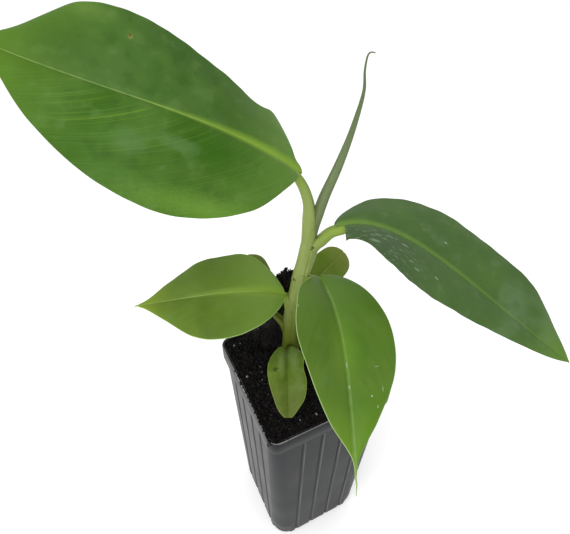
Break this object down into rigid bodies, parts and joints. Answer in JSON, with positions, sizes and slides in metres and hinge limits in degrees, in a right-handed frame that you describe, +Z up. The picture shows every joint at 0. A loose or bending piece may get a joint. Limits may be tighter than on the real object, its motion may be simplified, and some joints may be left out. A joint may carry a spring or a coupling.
{
  "type": "potted banana plant",
  "caption": "Young banana plant with broad leaves and a rolled new leaf on a slender stem, in a tall square ribbed nursery pot.",
  "frame": {"origin": "middle of the pot's flat underside", "axes": "+Z up; X and Y along the pot's sides; the plant is turned in the pot, so its largest leaves reach out towards -X+Y and +X-Y"},
  "size_m": [0.1655, 0.1122, 0.269],
  "materials": {
    "pot": "black moulded plastic with a soft sheen, grooved sides and a smooth band under the rim",
    "soil": "moist dark peat mix with fibres and pale grit",
    "stem": "smooth pale yellow-green sheaths, olive towards the soil",
    "young_leaf": "rolled grey-green new leaf with a dry thread tip",
    "leaf": "smooth satin green blade with a pale midrib, fine side veins and waxy patches",
    "old_leaf": "small olive blade with a dull satin surface"
  },
  "bodies": {
    "root": {"pot": "pot", "soil": "soil", "pseudostem": "stem", "spear_leaf": "young_leaf", "petiole_top": "stem", "petiole_right": "stem", "petiole_front": "stem", "petiole_left": "stem", "petiole_low_front": "stem", "petiole_low_right": "stem", "petiole_low_back": "stem", "leaf_top": "leaf", "leaf_right": "leaf", "leaf_front": "leaf", "leaf_left": "leaf", "leaf_low_front": "old_leaf", "leaf_low_right": "old_leaf", "leaf_low_back": "old_leaf"}
  },
  "joints": []
}
